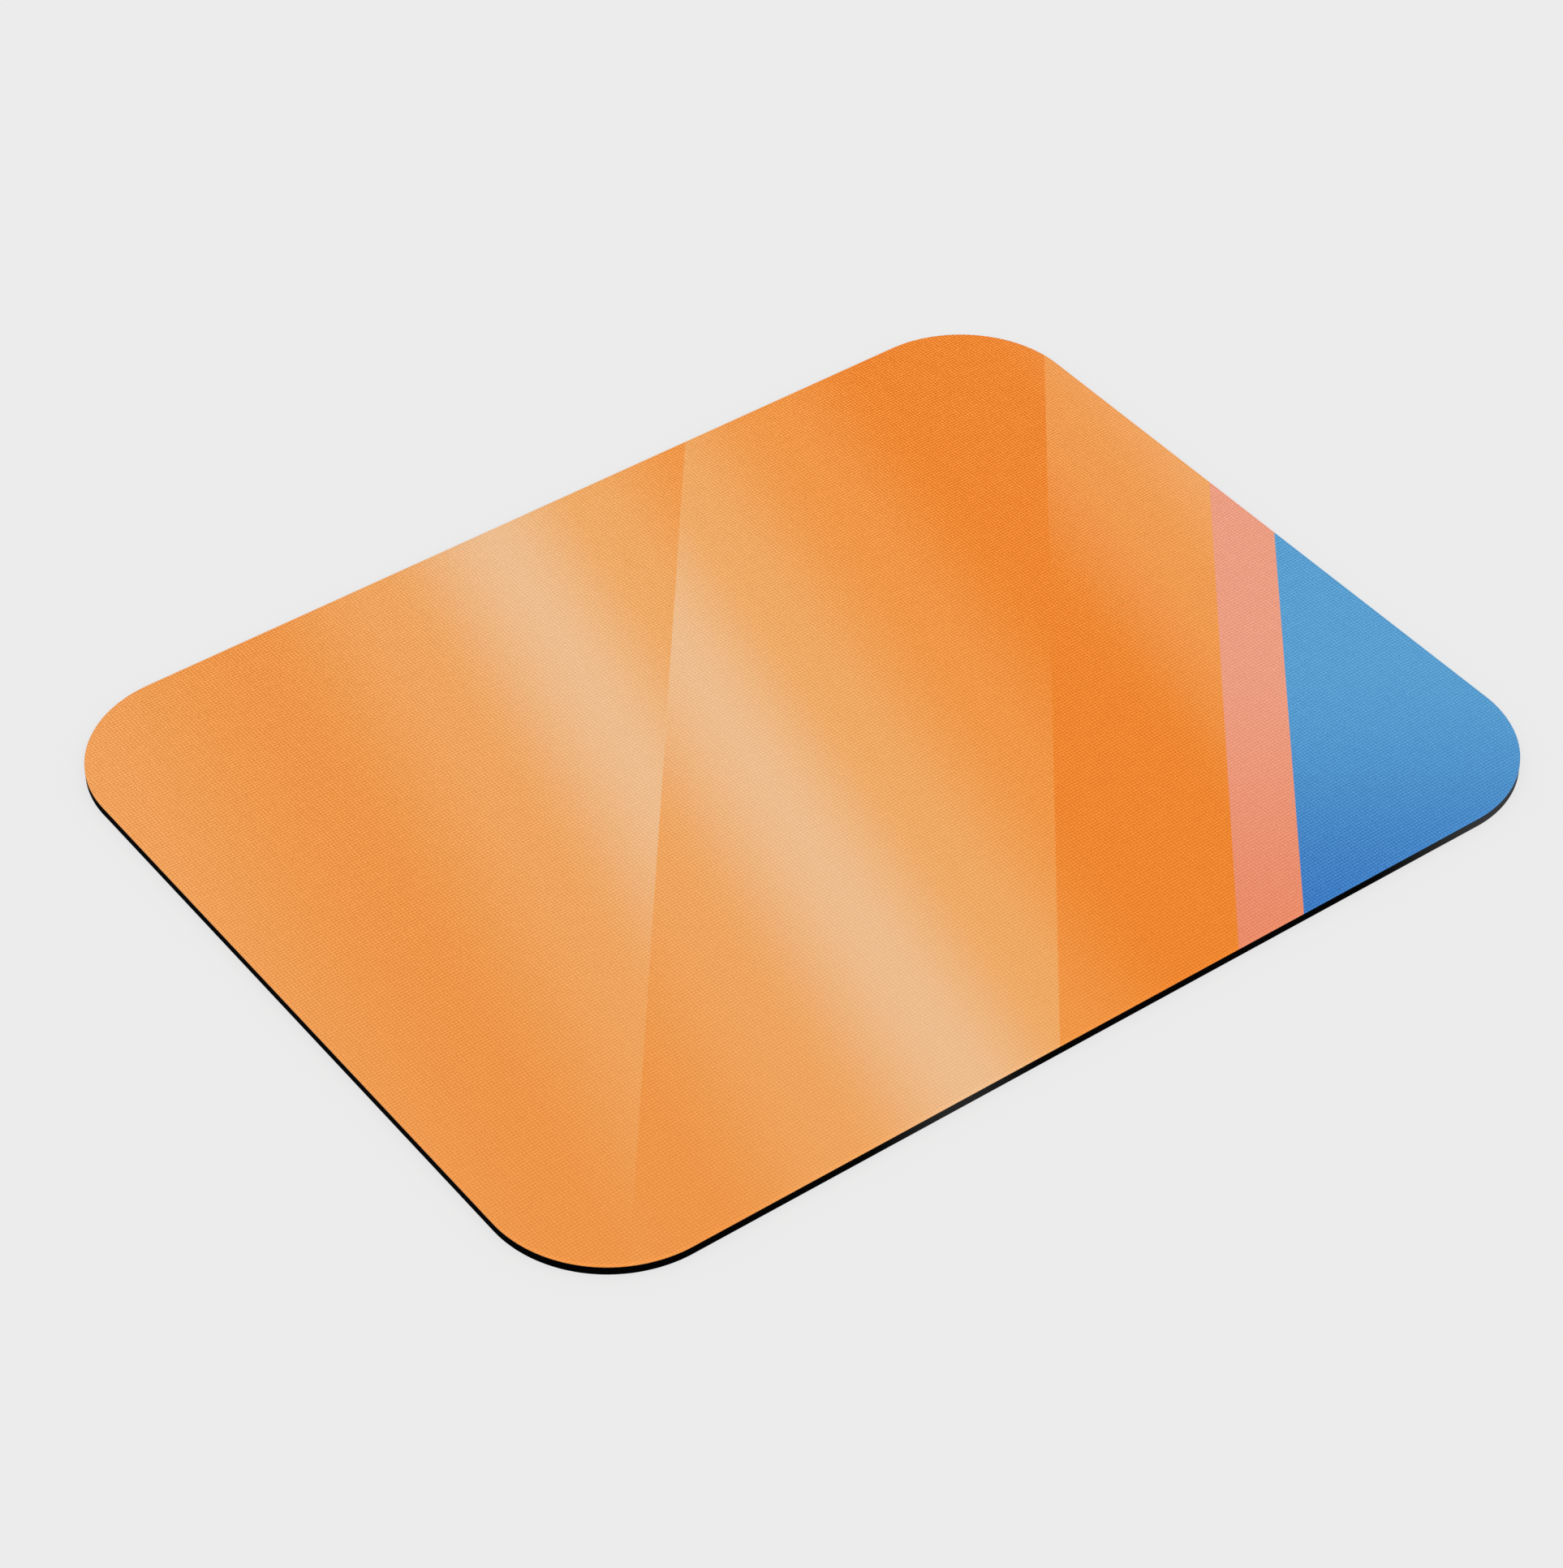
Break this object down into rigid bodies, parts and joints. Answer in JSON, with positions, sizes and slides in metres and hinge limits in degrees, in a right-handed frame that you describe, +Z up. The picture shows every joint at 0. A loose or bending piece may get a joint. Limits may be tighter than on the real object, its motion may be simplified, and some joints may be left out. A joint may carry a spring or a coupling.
{
  "type": "mouse pad",
  "caption": "Thin rectangular mouse pad with round corners: printed cloth face on a black foam rubber base with a wavy non-slip tread underneath.",
  "frame": {"origin": "middle of the underside, on the plane of the desk", "axes": "+X to the user's right along the long side, +Y away from the user along the short side, +Z up out of the cloth"},
  "size_m": [0.28, 0.22, 0.003],
  "materials": {
    "printed_cloth": "matt woven polyester, dye-printed in soft orange, coral and blue colour planes",
    "bonding_film": "dark hot-melt film, seen only as a thin line in the cut edge",
    "foam_rubber": "black closed-cell foam rubber, die-cut edge, moulded underside"
  },
  "bodies": {
    "root": {"rubber_base": "foam_rubber", "bonding_film": "bonding_film", "printed_cloth": "printed_cloth"}
  },
  "joints": []
}
